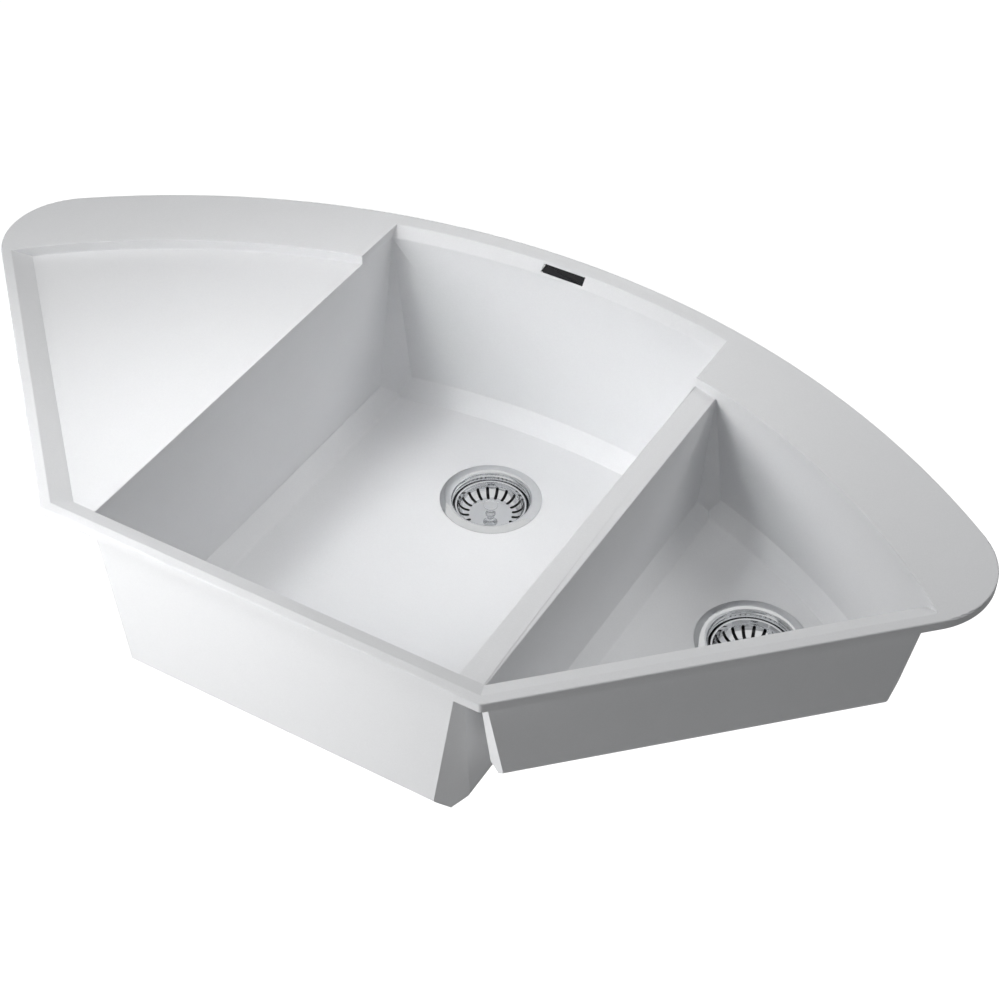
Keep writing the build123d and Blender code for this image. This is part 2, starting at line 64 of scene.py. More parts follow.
camera = bpy.data.objects.new("camera", bpy.data.cameras.new("camera"))
bpy.context.scene.collection.objects.link(camera)
camera.location = cameraView["place"]
camera.rotation_euler = (radians(cameraView["tilt"]), 0, radians(cameraView["turn"]))
camera.data.lens = cameraView["lens"]
camera.data.sensor_width = cameraView["sensor"]
camera.data.shift_x = cameraView["shiftX"]
bpy.context.scene.camera = camera
bpy.context.scene.view_settings.view_transform = "Standard"


class Wire:
    # a socket that can stand in an expression
    def __init__(self, finish, socket):
        self.finish = finish
        self.socket = socket

    def maths(self, operation, first, second):
        return self.finish.node("Math", {"operation": operation}, {0: first, 1: second})

    def __add__(self, other):
        return self.maths("ADD", self, other)

    def __radd__(self, other):
        return self.maths("ADD", other, self)

    def __sub__(self, other):
        return self.maths("SUBTRACT", self, other)

    def __rsub__(self, other):
        return self.maths("SUBTRACT", other, self)

    def __mul__(self, other):
        return self.maths("MULTIPLY", self, other)

    def __rmul__(self, other):
        return self.maths("MULTIPLY", other, self)


class Finish:
    # one material: node() adds a node, surface() sets the shader's own sockets
    def __init__(self, name, **constants):
        self.material = bpy.data.materials.new(name)
        self.material.use_nodes = True
        self.tree = self.material.node_tree
        self.shader = self.tree.nodes["Principled BSDF"]
        self.surface(**constants)

    def node(self, kind, settings=None, sockets=None, out=0):
        made = self.tree.nodes.new("ShaderNode" + kind)
        for key, value in (settings or {}).items():
            setattr(made, key, value)
        for key, value in (sockets or {}).items():
            self.feed(made.inputs[key], value)
        return Wire(self, made.outputs[out])

    def feed(self, socket, value):
        if isinstance(value, Wire):
            self.tree.links.new(value.socket, socket)
        elif socket.type == "RGBA" and len(value) == 3:
            socket.default_value = (*value, 1.0)
        else:
            socket.default_value = value

    def surface(self, **sockets):
        for key, value in sockets.items():
            self.feed(self.shader.inputs[socketNames[key]], value)

    def place(self):
        return self.node("TexCoord", out="Object")

    def noise(self, size, detail=2.0, roughness=0.5):
        # the result is a factor about 0.5
        sockets = {"Vector": self.place(), "Scale": 1 / size, "Detail": detail, "Roughness": roughness}
        return self.node("TexNoise", sockets=sockets, out="Fac")

    def tint(self, colour, level):
        # colour times a varying level, as a colour
        grey = self.node("CombineColor", sockets={0: level, 1: level, 2: level})
        settings = {"data_type": "RGBA", "blend_type": "MULTIPLY"}
        return self.node("Mix", settings, {0: 1.0, 6: colour, 7: grey}, out=2)

    def bump(self, height, strength, depth):
        sockets = {"Height": height, "Strength": strength, "Distance": depth}
        self.surface(normal=self.node("Bump", sockets=sockets))


socketNames = {
    "colour": "Base Color",
    "roughness": "Roughness",
    "metallic": "Metallic",
    "specular": "Specular IOR Level",
    "normal": "Normal",
    "glow": "Emission Color",
    "glowStrength": "Emission Strength",
}


compositeLook = {
    "colour": (0.80, 0.805, 0.815),
    "specular": 0.4,
    "grain": 0.0009,  # across a grain of quartz
    "fleck": 0.6,  # finer flecks, as a share of a grain
    "fleckDetail": 1.0,
    "mottle": 0.03,
    "mottleDetail": 3.0,
    "darkest": 0.965,
    "grainTint": 0.03,
    "fleckTint": 0.02,
    "mottleTint": 0.02,
    "roughness": 0.56,
    "grainRoughness": 0.12,
    "mottleRoughness": 0.06,
    "fleckHeight": 0.6,  # shares of the bump
    "grainHeight": 0.4,
    "bump": 0.25,
    "bumpDepth": 0.00012,
}


def quartzComposite():
    look = compositeLook
    finish = Finish("quartzComposite", specular=look["specular"])
    grainSockets = {"Vector": finish.place(), "Scale": 1 / look["grain"]}
    grain = finish.node("TexVoronoi", sockets=grainSockets, out="Color")
    grain = finish.node("SeparateColor", sockets={0: grain})
    fleck = finish.noise(look["grain"] * look["fleck"], look["fleckDetail"])
    mottle = finish.noise(look["mottle"], look["mottleDetail"])
    level = look["darkest"] + grain * look["grainTint"]
    level = level + fleck * look["fleckTint"] + mottle * look["mottleTint"]
    finish.surface(colour=finish.tint(look["colour"], level))
    roughness = look["roughness"] + (grain - 0.5) * look["grainRoughness"]
    finish.surface(roughness=roughness + (mottle - 0.5) * look["mottleRoughness"])
    height = fleck * look["fleckHeight"] + grain * look["grainHeight"]
    finish.bump(height, look["bump"], look["bumpDepth"])
    return finish.material


steelLook = {
    "colour": (0.80, 0.81, 0.82),
    "roughness": 0.075,
    "smudge": 0.012,
    "smudgeDetail": 4.0,
    "smudgeEdge": 0.6,
    "smudgeRoughness": 0.06,
    "smudgeTint": 0.06,
    "darkest": 0.97,
    "scratch": 0.0011,
    "scratchRoughness": 0.02,
    "wave": 0.02,  # slow waves of the pressed sheet
    "waveDetail": 1.0,
    "bump": 0.08,
    "bumpDepth": 0.0002,
}


def polishedSteel():
    look = steelLook
    finish = Finish("polishedSteel", metallic=1.0)
    smudge = finish.noise(look["smudge"], look["smudgeDetail"], look["smudgeEdge"])
    scratch = finish.noise(look["scratch"])
    roughness = look["roughness"] + (smudge - 0.5) * look["smudgeRoughness"]
    finish.surface(roughness=roughness + (scratch - 0.5) * look["scratchRoughness"])
    finish.surface(colour=finish.tint(look["colour"], look["darkest"] + smudge * look["smudgeTint"]))
    finish.bump(finish.noise(look["wave"], look["waveDetail"]), look["bump"], look["bumpDepth"])
    return finish.material


# Metals and rubber that vary in soft patches under a fine grit. Shade and roughness hold the level
# outside the patches and what a patch adds.
patchyLooks = {
    "turnedSteel": {
        "metallic": 1.0,
        "specular": 0.5,
        "colour": (0.60, 0.60, 0.605),
        "patch": 0.0007,  # rings left by the lathe
        "patchDetail": 3.0,
        "shade": (0.9, 0.2),
        "roughness": (0.22, 0.16),
        "grit": 0.0007,
        "gritDetail": 3.0,
        "bump": 0.1,
        "bumpDepth": 0.00005,
    },
    "turnedBrass": {
        "metallic": 1.0,
        "specular": 0.5,
        "colour": (0.74, 0.53, 0.25),
        "patch": 0.004,  # tarnish
        "patchDetail": 4.0,
        "shade": (0.85, 0.3),
        "roughness": (0.2, 0.2),
        "grit": 0.0006,
        "gritDetail": 2.0,
        "bump": 0.1,
        "bumpDepth": 0.00005,
    },
    # the cup's inside: steel whose dark colour is painted shade for the depth of the cup
    "drawnSteel": {
        "metallic": 1.0,
        "specular": 0.5,
        "colour": (0.085, 0.086, 0.09),  # painted shade: the inside of the deep cup is darkened in its colour
        "patch": 0.009,  # stains
        "patchDetail": 4.0,
        "shade": (0.8, 0.4),
        "roughness": (0.3, 0.15),
        "grit": 0.0008,
        "gritDetail": 2.0,
        "bump": 0.1,
        "bumpDepth": 0.00005,
    },
    "sealRubber": {
        "metallic": 0.0,
        "specular": 0.35,
        "colour": (0.035, 0.035, 0.037),
        "patch": 0.006,  # bloom
        "patchDetail": 4.0,
        "shade": (0.8, 0.5),
        "roughness": (0.6, 0.2),
        "grit": 0.0007,
        "gritDetail": 2.0,
        "bump": 0.2,
        "bumpDepth": 0.0001,
    },
}


def patchyFinish(name):
    look = patchyLooks[name]
    finish = Finish(name, metallic=look["metallic"], specular=look["specular"])
    patch = finish.noise(look["patch"], look["patchDetail"])
    shade, shadeMore = look["shade"]
    roughness, roughnessMore = look["roughness"]
    finish.surface(colour=finish.tint(look["colour"], shade + patch * shadeMore))
    finish.surface(roughness=roughness + patch * roughnessMore)
    finish.bump(finish.noise(look["grit"], look["gritDetail"]), look["bump"], look["bumpDepth"])
    return finish.material


plasticLook = {
    "cloud": 0.02,  # slow changes of shade
    "cloudDetail": 3.0,
    "cloudTint": 0.1,
    "cloudRoughness": 0.08,
    "darkest": 0.95,
    "skin": 0.0005,  # texture left by the mould
    "skinRoughness": 0.1,
    "bump": 0.15,
    "bumpDepth": 0.00006,
}


def mouldedPlastic(name, colour, roughness, specular=0.5):
    look = plasticLook
    finish = Finish(name, specular=specular)
    cloud = finish.noise(look["cloud"], look["cloudDetail"])
    skin = finish.noise(look["skin"])
    finish.surface(colour=finish.tint(colour, look["darkest"] + cloud * look["cloudTint"]))
    roughness = roughness + (skin - 0.5) * look["skinRoughness"]
    finish.surface(roughness=roughness + (cloud - 0.5) * look["cloudRoughness"])
    finish.bump(skin, look["bump"], look["bumpDepth"])
    return finish.material


finishes = {
    "composite": quartzComposite(),
    "polished_steel": polishedSteel(),
    "seal_rubber": patchyFinish("sealRubber"),
    "waste_plastic": mouldedPlastic("wastePlastic", (0.80, 0.80, 0.79), 0.42),
    "stopper_plastic": mouldedPlastic("stopperPlastic", (0.035, 0.035, 0.038), 0.38),
    "screw_steel": patchyFinish("turnedSteel"),
    "nut_brass": patchyFinish("turnedBrass"),
    "badge": mouldedPlastic("badgeBlack", (0.016, 0.016, 0.018), 0.5, specular=0.3),
}
# finish for the cup's inside, dark with painted shade
cupPaintedShadeFinish = patchyFinish("drawnSteel")
print("finishes made:", len(finishes))


def toObject(name, form, slot, body, *replaced):
    # the finished bmesh becomes an object at the origin, in its finish, on its body
    mesh = bpy.data.meshes.new(name)
    form.to_mesh(mesh)
    form.free()
    mesh.materials.append(finishes[slot])
    piece = bpy.data.objects.new(name, mesh)
    bpy.context.scene.collection.objects.link(piece)
    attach(piece, body)
    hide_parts(*replaced)
    return piece


# Distances in metres that count as none
within = {
    "cadWeld": 1e-5,
    "profileWeld": 1e-6,
    "seamWeld": 2e-6,
    "sameHeight": 1e-5,
    "sameReach": 3e-5,
}


def cadForm(node, flatAngle):
    # a node's CAD mesh as a new bmesh, with the triangles of each flat face joined
    form = bmesh.new()
    form.from_mesh(frame["nodes"][node].data)
    bmesh.ops.remove_doubles(form, verts=form.verts, dist=within["cadWeld"])
    bmesh.ops.dissolve_limit(form, angle_limit=radians(flatAngle), verts=form.verts, edges=form.edges)
    return form


def smoothBy(form, angle):
    # edges that turn more than the angle stay sharp
    for face in form.faces:
        face.smooth = True
    for edge in form.edges:
        edge.smooth = len(edge.link_faces) == 2 and edge.calc_face_angle(0) < radians(angle)


mouldingSizes = {
    "rimLip": 0.6,  # where the rim's flat top turns down
    "deckLip": 1.3,  # where the deck turns into a bowl
    "slopeFoot": 0.4,
    "lipSegments": 4,
    "rimEdges": 9.9,  # the rim's top edges lie above this height
    "deckEdges": (-1.6, -1.2),  # the deck's edges lie between these heights
    "lipAngle": 34,  # edges of the deck that turn more are lips, the others feet of slopes
    "plainAngle": 20,  # edges that turn less belong to curved walls
    "deepPlainAngle": 30,
    "deepEdges": -100,  # the deep plain angle counts below this height
    "upward": 0.3,  # height of both normals together at an edge that is seen from above
    "creaseAngle": 40,  # edges that turn more stay sharp
    "flatAngle": 0.1,  # faces that turn less from each other are joined
    "flatArea": 8000.0,  # faces larger than this are flat, the narrower ones belong to curved walls
    "levelNormal": 0.9999,  # a face whose normal is at least this upright is level
    "apexY": -240.0,  # centre of the back arcs
    "backRadius": 851.0,
    "cornerRadius": 84.0,
    # arcs that get more points: their reach from the centre, their chords and the cuts in each
    "backArcs": {"nearest": 700, "furthest": 900, "shortest": 3, "longest": 60, "cuts": 3},
    "cornerArcs": {"nearest": 60, "furthest": 90, "shortest": 3, "longest": 30, "cuts": 3},
    "recessArcs": {"nearest": 40, "furthest": 60, "shortest": 2, "longest": 10, "cuts": 2},
}

slots = {piece["node"]: piece["material_slot"] for piece in frame["record"]["subparts"]}

flangeCrown = 1.8  # height of a flange's face above its bowl's floor

# Where the axis of each waste meets its bowl's floor
drains = {}
for bowl in ("main", "half"):
    low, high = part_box(bowl + "_drain_flange")
    drains[bowl] = Vector(((low.x + high.x) / 2, (low.y + high.y) / 2, high.z - flangeCrown * mm))


def roundedArcs(form, centre, nearest, furthest, shortest, longest, cuts):
    # long chords on level arcs about the centre get more points, moved out to the arc
    middle = Vector(centre) * mm
    reach = form.verts.layers.float.new("reach")
    for vert in form.verts:
        vert[reach] = (vert.co.xy - middle).length
    chords = []
    for edge in form.edges:
        a, b = edge.verts
        level = abs(a.co.z - b.co.z) < within["sameHeight"]
        onArc = abs(a[reach] - b[reach]) < within["sameReach"] and nearest < a[reach] / mm < furthest
        if level and onArc and shortest < edge.calc_length() / mm < longest:
            chords.append(edge)
    known = set(form.verts)
    bmesh.ops.subdivide_edges(form, edges=chords, cuts=cuts, use_grid_fill=True)
    for vert in form.verts:
        if vert not in known:
            vert.co.xy = middle + (vert.co.xy - middle).normalized() * vert[reach]
    form.verts.layers.float.remove(reach)


def sinkMoulding():
    sizes = mouldingSizes
    # a corner's arc touches the back arc and the side, which runs at 45 degrees
    cornerShift = sizes["cornerRadius"] * sqrt(2)
    cornerReach = sizes["backRadius"] - sizes["cornerRadius"]
    cornerX = (sqrt(2 * cornerReach**2 - cornerShift**2) - cornerShift) / 2
    cornerY = cornerX + cornerShift + sizes["apexY"]
    form = cadForm("sink_body", sizes["flatAngle"])
    roundedArcs(form, (0, sizes["apexY"]), **sizes["backArcs"])
    for side in (-1, 1):
        roundedArcs(form, (side * cornerX, cornerY), **sizes["cornerArcs"])
    for drain in drains.values():
        roundedArcs(form, drain.xy / mm, **sizes["recessArcs"])
    weights = form.edges.layers.float.new("bevel_weight_edge")
    widest = sizes["deckLip"]
    for edge in form.edges:
        edge[weights] = bevelWidth(edge) / widest
    smoothBy(form, sizes["creaseAngle"])
    for face in form.faces:
        level = abs(face.normal.z) > sizes["levelNormal"]
        if level or face.calc_area() > sizes["flatArea"] * mm**2:
            face.smooth = False
    piece = toObject("sink_moulding", form, "composite", "sink", "sink_body")
    bevel = piece.modifiers.new("lips", "BEVEL")
    bevel.limit_method = "WEIGHT"
    bevel.width = widest * mm
    bevel.segments = sizes["lipSegments"]
    bevel.profile = 0.5
    bevel.use_clamp_overlap = False
    bevel.miter_outer = "MITER_ARC"
    flat = piece.modifiers.new("flatFaces", "WEIGHTED_NORMAL")  # keeps wide faces flat beside roundings
    flat.weight = 100
    flat.keep_sharp = True


def bevelWidth(edge):
    # the rounding of an edge, in millimetres, nothing for most of them
    sizes = mouldingSizes
    angle = edge.calc_face_angle(0) * 180 / pi
    a, b = (vert.co / mm for vert in edge.verts)
    low, high = min(a.z, b.z), max(a.z, b.z)
    up = sum(face.normal.z for face in edge.link_faces) > sizes["upward"]
    plain = sizes["deepPlainAngle"] if high < sizes["deepEdges"] else sizes["plainAngle"]
    if angle < plain or not up:
        return 0.0
    if low > sizes["rimEdges"]:
        return sizes["rimLip"]
    deckLow, deckHigh = sizes["deckEdges"]
    if deckLow < low and high < deckHigh:
        return sizes["deckLip"] if angle > sizes["lipAngle"] else sizes["slopeFoot"]
    return 0.0


sinkMoulding()
print("moulding done")


arcStep = radians(12)  # each short straight of a rounded corner
turnSteps = 144
wasteCrease = 32  # edges of the wastes' pieces that turn more stay sharp


def roundedWire(form, corners, closed):
    # corners hold radius, height and rounding in millimetres
    verts = [form.verts.new((radius * mm, 0, height * mm)) for radius, height, rounding in corners]
    for first, second in zip(verts, verts[1:] + verts[:1] if closed else verts[1:]):
        form.edges.new((first, second))
    for vert, corner in zip(verts, corners):
        if corner[2]:
            before, after = (edge.other_vert(vert).co - vert.co for edge in vert.link_edges)
            turn = pi - before.angle(after)
            bmesh.ops.bevel(
                form,
                geom=[vert],
                offset=corner[2] * mm * tan(turn / 2),
                offset_type="OFFSET",
                segments=max(2, round(turn / arcStep)),
                profile=0.5,
                affect="VERTICES",
                material=-1,
                clamp_overlap=False,
            )
    return verts[0]


def turned(form, corners, closed=False):
    # the corners' wire turned about the waste's axis
    profile = bmesh.new()
    roundedWire(profile, corners, closed)
    geom = profile.verts[:] + profile.edges[:]
    bmesh.ops.spin(
        profile, geom=geom, cent=(0, 0, 0), axis=(0, 0, 1), angle=2 * pi, steps=turnSteps, use_merge=True
    )
    bmesh.ops.remove_doubles(profile, verts=profile.verts, dist=within["profileWeld"])
    bmesh.ops.recalc_face_normals(profile, faces=profile.faces)
    joined(form, profile)


def joined(form, other):
    # moves the other bmesh's faces into the form
    spare = bpy.data.meshes.new("spare")
    other.to_mesh(spare)
    other.free()
    form.from_mesh(spare)
    bpy.data.meshes.remove(spare)


def placed(name, form, bowl, node, lifts=False):
    # a waste's piece, drawn about the Z axis with its bowl's floor at z = 0
    smoothBy(form, wasteCrease)
    bmesh.ops.translate(form, verts=form.verts, vec=drains[bowl])
    replaced = bowl + "_" + node
    body = bowl + "_strainer" if lifts else "sink"
    return toObject(bowl + "_" + name, form, slots[replaced], body, replaced)


smallEdges = {
    "angle": 50,  # edges that turn more than this are rounded
    "segments": 2,
}


def softEdges(piece, width):
    # small roundings on the edges of sheet metal and mouldings
    edges = piece.modifiers.new("edges", "BEVEL")
    edges.limit_method = "ANGLE"
    edges.angle_limit = radians(smallEdges["angle"])
    edges.width = width * mm
    edges.segments = smallEdges["segments"]
    edges.profile = 0.5
    edges.harden_normals = True
    edges.use_clamp_overlap = True


flangeSizes = {
    "paintedShadeBelow": -9.4,  # polished above this height; below it, inside the cup, satin steel with painted shade darkening it
    "section": (
        (55.8, 0.1, 0.12),
        (51.45, flangeCrown, 24.6),  # the domed face
        (42.6, flangeCrown, 3.9),  # the mouth
        (42.5, -3.4, 0.5),
        (41.7, -4.2, 0.6),  # step in the throat
        (40.5, -9.8, 3.0),
        (40.5, -24.0, 1.5),
        (24.0, -33.5, 3.0),
        (22.0, -37.0, 1.0),
        (20.9, -37.0, 0),
        (20.9, -38.0, 0),
        (22.7, -38.0, 1.6),
        (24.9, -34.2, 3.5),
        (41.9, -24.5, 2.0),
        (43.1, -0.4, 0.8),
        (55.8, -0.4, 0.15),
    ),
    "sieveOuter": 20.9,
    "sieveInner": 5.1,
    "sieveHeight": -37.0,
    "sieveSheet": 1.0,
    "holes": 8,
    "holeRadius": 3.4,
    "holeCircle": 16.2,
    "holeQuarter": 4,  # segments in a quarter of a hole
}


def sieveWedge(sizes):
    # one hole with the part of the sieve round it
    form = bmesh.new()
    half = pi / sizes["holes"]
    quarter = sizes["holeQuarter"]
    bmesh.ops.create_grid(form, x_segments=quarter, y_segments=quarter, size=1)
    inner = [vert for vert in form.verts if not vert.is_boundary]
    bmesh.ops.delete(form, geom=form.faces[:], context="FACES_ONLY")
    bmesh.ops.delete(form, geom=inner, context="VERTS")
    middle = (sizes["sieveOuter"] + sizes["sieveInner"]) / 2
    width = (sizes["sieveOuter"] - sizes["sieveInner"]) / 2
    for vert in form.verts:
        radius = (middle + width * vert.co.x) * mm
        angle = half * vert.co.y
        vert.co = (radius * cos(angle), radius * sin(angle), 0)
    place = Matrix.Translation((sizes["holeCircle"] * mm, 0, 0))
    bmesh.ops.create_circle(form, segments=4 * quarter, radius=sizes["holeRadius"] * mm, matrix=place)
    bmesh.ops.bridge_loops(form, edges=form.edges[:])
    return form


def repeatedRound(form, count):
    # the form copied evenly about the Z axis, with its seams closed
    geom = form.verts[:] + form.edges[:] + form.faces[:]
    bmesh.ops.spin(
        form,
        geom=geom,
        cent=(0, 0, 0),
        axis=(0, 0, 1),
        angle=2 * pi * (count - 1) / count,
        steps=count - 1,
        use_duplicate=True,
    )
    bmesh.ops.remove_doubles(form, verts=form.verts, dist=within["seamWeld"])


def thickened(form, thickness):
    # the open sheet faces up, and its thickness goes down from it
    bmesh.ops.recalc_face_normals(form, faces=form.faces)
    if sum(face.normal.z * face.calc_area() for face in form.faces) < 0:
        bmesh.ops.reverse_faces(form, faces=form.faces[:])
    bmesh.ops.solidify(form, geom=form.faces[:], thickness=thickness * mm)


def drainFlange(bowl):
    sizes = flangeSizes
    form = bmesh.new()
    turned(form, sizes["section"], closed=True)
    sieve = sieveWedge(sizes)
    repeatedRound(sieve, sizes["holes"])
    thickened(sieve, sizes["sieveSheet"])
    bmesh.ops.translate(sieve, verts=sieve.verts, vec=(0, 0, sizes["sieveHeight"] * mm))
    joined(form, sieve)
    # faces below that height take the finish whose dark colour is painted shade of the cup's inside
    for face in form.faces:
        face.material_index = int(face.calc_center_median().z < sizes["paintedShadeBelow"] * mm)
    piece = placed("flange", form, bowl, "drain_flange")
    piece.data.materials.append(cupPaintedShadeFinish)


basketSizes = {
    "section": (
        (39.4, -9.6, 0),
        (39.4, -8.0, 0.8),  # rolled lip
        (37.2, -8.0, 0.7),
        (35.6, -22.0, 11.0),
        (2.7, -22.0, 0),
    ),
    "sheet": 0.8,
    "slots": 20,
    "slotHalf": 1.7,
    "slotFrom": 9.9,  # along the sheet from the lip's foot
    "slotTo": 25.8,
    "slotShare": 0.6,  # the widest slot, as a share of its part of the basket
    "tipSteps": 4,  # steps in a quarter of a slot's round end
    "straightSteps": 10,  # in its straight side
    "belowSteps": 6,  # and from it to the hub
    "edgeRounding": 0.12,
}


def sheetLine(corners):
    # points of the rounded section in order, with the distance of each from the first
    form = bmesh.new()
    vert = roundedWire(form, corners, closed=False)
    points, edge = [(0.0, vert.co / mm)], None
    while len(vert.link_edges) > 1 or edge is None:
        edge = next(other for other in vert.link_edges if other is not edge)
        vert = edge.other_vert(vert)
        distance, last = points[-1]
        points.append((distance + (vert.co / mm - last).length, vert.co / mm))
    form.free()
    return points


def pointAlong(line, distance):
    # radius and height at a distance along the sheet
    for (start, first), (end, second) in zip(line, line[1:]):
        if distance <= end:
            return first.lerp(second, (distance - start) / (end - start))
    return line[-1][1]


def slotRows(line):
    # distances along the sheet, with the half width of the slot there
    sizes = basketSizes
    half = sizes["slotHalf"]
    start, end = sizes["slotFrom"], sizes["slotTo"]
    turns = [pi / 2 * step / sizes["tipSteps"] for step in range(sizes["tipSteps"] + 1)]
    tip = [(half * (1 - cos(turn)), half * sin(turn)) for turn in turns]
    above = [(distance, half / 2) for distance, point in line if distance < start - half / 2]
    first = [(start + distance, width) for distance, width in tip]
    step = (end - start - 2 * half) / sizes["straightSteps"]
    between = [(start + half + step * count, half) for count in range(1, sizes["straightSteps"])]
    last = [(end - distance, width) for distance, width in reversed(tip)]
    step = (line[-1][0] - end) / sizes["belowSteps"]
    below = [(end + step * count, half / 2) for count in range(1, sizes["belowSteps"] + 1)]
    rows = above + first + between + last + below
    return rows, len(above), len(rows) - len(below) - 1


def basketSheet(sizes):
    # one slot with the part of the basket round it, then all of them
    line = sheetLine(sizes["section"])
    rows, slotStart, slotEnd = slotRows(line)
    across = 6  # strips in a part, the middle two hold the slot
    along = len(rows) - 1
    form = bmesh.new()
    bmesh.ops.create_grid(form, x_segments=across, y_segments=along, size=0.5)
    inSlot = []
    for face in form.faces:
        centre = face.calc_center_median()
        row = (centre.y + 0.5) * along
        if abs(centre.x) < 1 / across and slotStart < row < slotEnd:
            inSlot.append(face)
    bmesh.ops.delete(form, geom=inSlot, context="FACES")
    share = pi / sizes["slots"]
    for vert in form.verts:
        distance, half = rows[round((vert.co.y + 0.5) * along)]
        point = pointAlong(line, distance)
        slot = min(asin(half / point.x), sizes["slotShare"] * share)
        land = (share + slot) / 2
        columns = (-share, -land, -slot, 0, slot, land, share)
        angle = columns[round((vert.co.x + 0.5) * across)]
        vert.co = Vector((point.x * cos(angle), point.x * sin(angle), point.z)) * mm
    bmesh.ops.remove_doubles(form, verts=form.verts, dist=within["seamWeld"])
    repeatedRound(form, sizes["slots"])
    thickened(form, sizes["sheet"])
    return form


def basket(bowl):
    sizes = basketSizes
    piece = placed("strainerBasket", basketSheet(sizes), bowl, "basket", lifts=True)
    softEdges(piece, sizes["edgeRounding"])


turnedPieces = {
    "knob": {
        "lifts": True,
        "section": (
            (0.0, -22.0, 0),
            (6.0, -22.0, 0.4),
            (5.6, -20.4, 1.2),
            (3.5, -17.6, 4.0),
            (3.5, -13.4, 3.4),
            (7.0, -10.5, 0.8),
            (8.0, -10.3, 0.5),
            (7.9, -8.95, 0.7),
            (0.0, -8.8, 0),
        ),
    },
    "stopper_hub": {
        "lifts": True,
        "section": (
            (2.6, -22.8, 0),
            (17.0, -22.8, 0.3),
            (17.0, -25.0, 0.8),
            (8.7, -25.0, 0.8),
            (8.7, -31.0, 0.9),
            (2.6, -31.0, 0.4),
        ),
        "closed": True,
    },
    "stopper_seal": {
        "lifts": True,
        "section": (
            (8.8, -25.0, 0.2),
            (30.0, -25.0, 0.6),
            (31.0, -25.5, 0.5),
            (32.5, -25.5, 0.5),
            (33.5, -25.0, 0.6),
            (38.4, -25.0, 0.7),
            (32.7, -28.3, 0.7),
            (8.8, -28.4, 0.2),
        ),
        "closed": True,
    },
    "stopper_pin": {
        "lifts": True,
        "section": (
            (0.0, -14.0, 0),
            (2.5, -14.0, 0.3),
            (2.5, -47.9, 0.3),
            (3.0, -48.3, 0.4),
            (3.0, -50.6, 0.5),
            (2.2, -51.0, 0.4),
            (0.0, -51.0, 0),
        ),
    },
    "under_seal": {
        "lifts": False,
        "section": (
            (46.0, -6.0, 0.4),
            (57.0, -6.0, 0.5),
            (57.0, -9.0, 0.5),
            (46.0, -9.0, 0.4),
        ),
        "closed": True,
    },
}


def turnedPiece(bowl, node):
    # one of the pieces above, in its bowl's waste
    made = turnedPieces[node]
    form = bmesh.new()
    turned(form, made["section"], made.get("closed", False))
    name = "turned" + node.title().replace("_", "")
    placed(name, form, bowl, node, made["lifts"])


wasteBodySizes = {
    "section": (
        (44.0, -9.0, 0.5),
        (58.0, -9.0, 0.5),
        (58.0, -12.5, 1.2),
        (47.0, -12.5, 2.0),
        (47.0, -46.9, 5.0),
        (22.8, -57.9, 3.0),
        (22.8, -62.0, 0.3),
        (19.8, -62.0, 0.3),
        (19.8, -56.0, 2.0),
        (44.0, -45.0, 4.0),
    ),
    "boss": (
        (5.1, -38.0, 0.2),
        (11.0, -38.0, 0.6),
        (11.0, -62.0, 0.9),
        (8.8, -62.0, 0.3),
        (8.8, -43.0, 0),
        (5.1, -43.0, 0),
    ),
    "arms": 3,
    "armOutline": ((10.5, -56.0), (20.6, -56.0), (38.6, -48.0), (10.5, -48.0)),
    "armWidth": 3.0,
}


outletSizes = {
    "section": (
        (19.8, -62.0, 0.3),
        (27.0, -62.0, 0.9),
        (27.0, -67.0, 0.9),
        (22.75, -67.0, 0.4),
        (22.75, -92.0, 0.8),
        (19.8, -92.0, 0.4),
    ),
    "ridge": ((22.6, -1.0), (23.9, -0.3), (23.9, 0.3), (22.6, 1.0)),
    "ridgeTop": -69.4,
    "pitch": 2.309,  # 11 threads to the inch
    "turns": 8.8,
    "stepsPerTurn": 48,
}


def wasteBody(bowl):
    sizes = wasteBodySizes
    form = bmesh.new()
    turned(form, sizes["section"], closed=True)
    turned(form, sizes["boss"], closed=True)

    arm = bmesh.new()  # arms that carry the boss
    side = -sizes["armWidth"] / 2 * mm
    corners = [arm.verts.new((radius * mm, side, z * mm)) for radius, z in sizes["armOutline"]]
    face = arm.faces.new(corners)
    grown = bmesh.ops.extrude_face_region(arm, geom=[face])["geom"]
    moved = [item for item in grown if isinstance(item, bmesh.types.BMVert)]
    bmesh.ops.translate(arm, verts=moved, vec=(0, sizes["armWidth"] * mm, 0))
    repeatedRound(arm, sizes["arms"])
    bmesh.ops.recalc_face_normals(arm, faces=arm.faces)
    joined(form, arm)
    placed("wasteBody", form, bowl, "waste_body")


def threadedOutlet(bowl):
    sizes = outletSizes
    form = bmesh.new()
    turned(form, sizes["section"], closed=True)
    thread = bmesh.new()
    top = sizes["ridgeTop"]
    corners = [thread.verts.new((radius * mm, 0, (top + z) * mm)) for radius, z in sizes["ridge"]]
    face = thread.faces.new(corners)
    steps = round(sizes["turns"] * sizes["stepsPerTurn"])
    bmesh.ops.spin(
        thread,
        geom=[face],
        cent=(0, 0, 0),
        axis=(0, 0, 1),
        dvec=(0, 0, -sizes["pitch"] * mm / sizes["stepsPerTurn"]),
        angle=2 * pi * sizes["turns"],
        steps=steps,
    )
    bmesh.ops.recalc_face_normals(thread, faces=thread.faces)
    joined(form, thread)
    placed("threadedOutlet", form, bowl, "outlet_tail")


for bowl in drains:
    drainFlange(bowl)
    basket(bowl)
    wasteBody(bowl)
    threadedOutlet(bowl)
    for node in turnedPieces:
        turnedPiece(bowl, node)
print("wastes done")


badgeSizes = {
    "border": 0.7,  # raised border round the bare field
    "fieldDrop": 0.2,
    "edgeRounding": 0.2,
    "flatAngle": 1,  # faces that turn less from each other are joined
}


